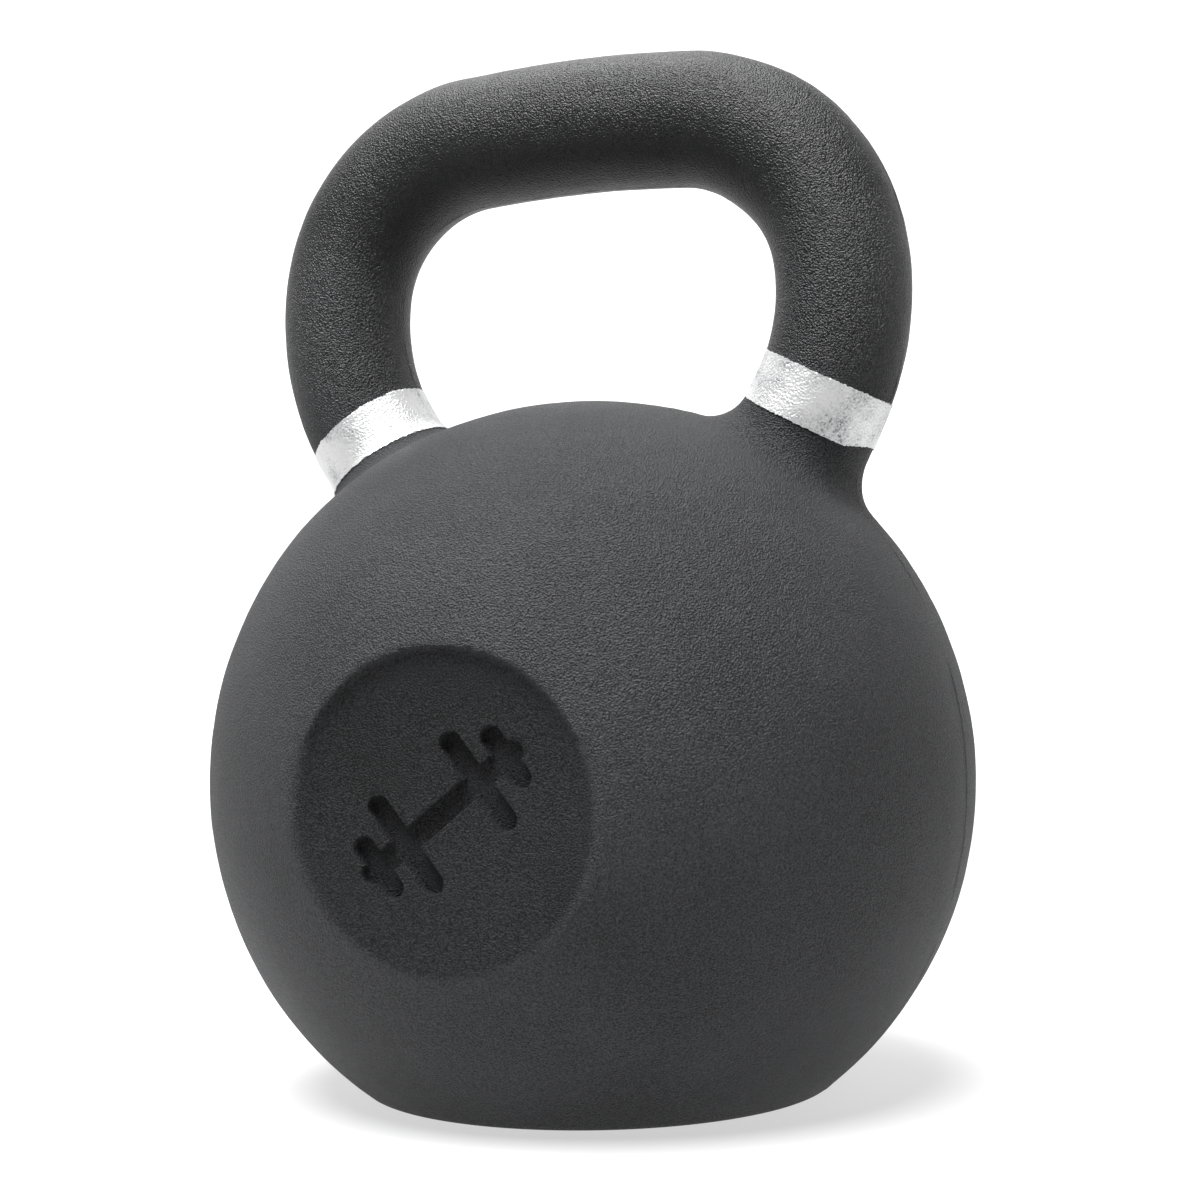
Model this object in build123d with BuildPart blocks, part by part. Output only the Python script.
from build123d import *

import os
from math import acos, degrees, sqrt

# Cast-iron kettlebell, in millimetres.
# One casting makes the ball, both horns and the grip. A band of silver paint runs round each horn.
# Frame: +Z up, origin at the middle of the flat base, X along the grip, the ball's disc faces -Y.

# ---------------------------------------------------------------- driving dimensions
# Ball
ball_radius = 115.0
base_radius = 69.0  # where the flat base cuts the ball, before its edge is rounded
base_edge_radius = 3.0

# Handle: its centre line is a chain of tangent arcs, the same on both sides
handle_radius = 19.8
window_height = 64.7  # from the top of the ball to the underside of the grip
grip_half_length = 35.0
grip_crown_radius = 450.0  # the grip is slightly arched
corner_radius = 50.7
corner_heading = 82.0  # degrees below level where the corner ends and the horn begins
root_depth = 30.0  # how far the horn's centre line runs into the ball
root_fillet = 12.6
root_fillet_run_out = 1.0  # straight horn left above the fillet before the horn starts to curve

# Bands of paint, measured along the horn from the surface of the ball to the band's lower edge.
# They were brushed on by hand, so the two differ in place and width, and their edges aren't square.
paint_thickness = 0.3
left_band_clearance = 3.9
left_band_width = 14.9
left_band_tilts = (-2.9, 7.4)  # degrees, lower edge then upper edge
right_band_clearance = 10.0
right_band_width = 15.6
right_band_tilts = (-5.3, 5.6)

# Disc on the front of the ball, and the mark cut into it
disc_height = 89.1  # of its middle above the base
disc_radius = 43.4
disc_sink = 2.4  # depth of its floor below the ball's surface at the disc's upper rim
mark_depth = 2.6
mark_stroke = 6.2
mark_angle = 38.0
mark_bar_length = 58.0
mark_plates = ((13.5, 31.0), (23.5, 19.0))  # distance from the middle and length of each pair

# ---------------------------------------------------------------- derived places
# A horn is curved from the corner until it points at the middle of the ball, then straight.
# The straight end is just long enough for the root fillet, which makes that fillet a true ring.
ball_height = sqrt(ball_radius**2 - base_radius**2)
ball_centre = Vector(0, 0, ball_height)
grip_height = ball_height + ball_radius + window_height + handle_radius
crown_turn = degrees(grip_half_length / grip_crown_radius)
fillet_top = sqrt((ball_radius + root_fillet) ** 2 - (handle_radius + root_fillet) ** 2)
straight_top = fillet_top + root_fillet_run_out  # from the middle of the ball
disc_rim_drop = disc_height + disc_radius - ball_height
disc_floor = sqrt(ball_radius**2 - disc_rim_drop**2) - disc_sink
disc_plane = Plane(origin=(0, -disc_floor, disc_height), x_dir=(1, 0, 0), z_dir=(0, -1, 0))
mark_direction = Vector(1, 0, 0).rotate(Axis.Y, -mark_angle)
mark_plane = Plane(origin=disc_plane.origin, x_dir=mark_direction, z_dir=disc_plane.z_dir)

# ---------------------------------------------------------------- centre line of the handle
with BuildLine(Plane.XZ) as centre_line:
    grip = JernArc((0, grip_height), (1, 0), grip_crown_radius, -crown_turn)
    corner = JernArc(grip @ 1, grip % 1, corner_radius, crown_turn - corner_heading)
    inward = (corner % 1).rotate(Axis.Y, 90)
    from_ball = corner @ 1 - ball_centre
    horn_radius = (straight_top**2 - from_ball.length**2) / (2 * from_ball.dot(inward))
    pivot = corner @ 1 + inward * horn_radius
    pivot_to_ball = ball_centre - pivot
    tangent_angle = degrees(acos(horn_radius / pivot_to_ball.length))
    horn_turn = (corner @ 1 - pivot).get_angle(pivot_to_ball) - tangent_angle
    horn = JernArc(corner @ 1, corner % 1, horn_radius, -horn_turn)
    outward = (horn @ 1 - ball_centre).normalized()
    Line(horn @ 1, ball_centre + outward * (ball_radius - root_depth))
    half_path = centre_line.wire()  # from the middle of the grip to the end inside the ball
    mirror(about=Plane.YZ)
handle_path = centre_line.wire()


# ---------------------------------------------------------------- shape of the casting
def grown_casting(growth):
    """The ball, horns and grip without the disc, grown outwards by the given amount."""
    with BuildPart() as shape:
        with BuildSketch(Plane.YZ) as half_ball:
            with Locations((0, ball_height)):
                Circle(ball_radius + growth)
            with Locations((0, 0)):
                Rectangle(
                    ball_radius + growth,
                    2 * (ball_height + ball_radius),
                    align=(Align.MIN, Align.MIN),
                    mode=Mode.INTERSECT,
                )
            fillet(half_ball.vertices().sort_by(Axis.X)[-1], base_edge_radius)
        revolve(axis=Axis.Z)
        with BuildSketch(Plane(origin=handle_path @ 0, z_dir=handle_path % 0)):
            Circle(handle_radius + growth)
        sweep(path=handle_path)
        root_edges = [
            edge
            for edge in shape.edges(Select.LAST)
            if abs((edge @ 0 - ball_centre).length - ball_radius - growth) < 0.01
        ]
        fillet(root_edges, root_fillet - growth)
    return shape.part


def horn_cut(side, distance, tilt):
    """Plane across one horn, this far along it from the ball's surface, facing the grip.

    A positive tilt lifts the plane's inner side, the one towards the window.
    """
    along = half_path.length - root_depth - distance
    place = half_path.position_at(along, PositionMode.LENGTH)
    facing = -half_path.tangent_at(along, PositionMode.LENGTH).rotate(Axis.Y, tilt)
    return Plane(
        origin=(side * place.X, 0, place.Z),
        x_dir=(0, 1, 0),
        z_dir=(side * facing.X, 0, facing.Z),
    )


def horn_slice(side, clearance, width, tilts):
    """Thick disc across one horn, between the two edges of its band."""
    with BuildPart() as blank:
        with Locations(horn_cut(side, clearance + width / 2, 0)):
            Cylinder(2 * handle_radius, 3 * width)
        split(bisect_by=horn_cut(side, clearance, tilts[0]), keep=Keep.TOP)
        split(bisect_by=horn_cut(side, clearance + width, tilts[1]), keep=Keep.BOTTOM)
    return blank.part


plain_casting = grown_casting(0)
painted_casting = grown_casting(paint_thickness)

# ---------------------------------------------------------------- the pieces
with BuildPart() as casting:
    add(plain_casting)
    with BuildSketch(disc_plane):
        Circle(disc_radius)
    extrude(amount=ball_radius - disc_floor, mode=Mode.SUBTRACT)
    with BuildSketch(mark_plane):
        SlotOverall(mark_bar_length, mark_stroke)
        for distance, length in mark_plates:
            with Locations((-distance, 0), (distance, 0)):
                SlotOverall(length, mark_stroke, rotation=90)
    extrude(amount=-mark_depth, mode=Mode.SUBTRACT)

with BuildPart() as band_left:
    add(horn_slice(-1, left_band_clearance, left_band_width, left_band_tilts))
    add(painted_casting, mode=Mode.INTERSECT)
    add(plain_casting, mode=Mode.SUBTRACT)

with BuildPart() as band_right:
    add(horn_slice(1, right_band_clearance, right_band_width, right_band_tilts))
    add(painted_casting, mode=Mode.INTERSECT)
    add(plain_casting, mode=Mode.SUBTRACT)

# ---------------------------------------------------------------- export
os.makedirs("parts", exist_ok=True)
casting.part.label = "casting"
band_left.part.label = "band_left"
band_right.part.label = "band_right"
export_step(casting.part, "parts/casting.step")
export_step(band_left.part, "parts/band_left.step")
export_step(band_right.part, "parts/band_right.step")
print(f"horn radius {horn_radius:.1f} mm, horn turn {horn_turn:.1f} degrees")
print(f"height {grip_height + handle_radius:.1f} mm, casting {casting.part.volume / 1e6:.3f} litres")
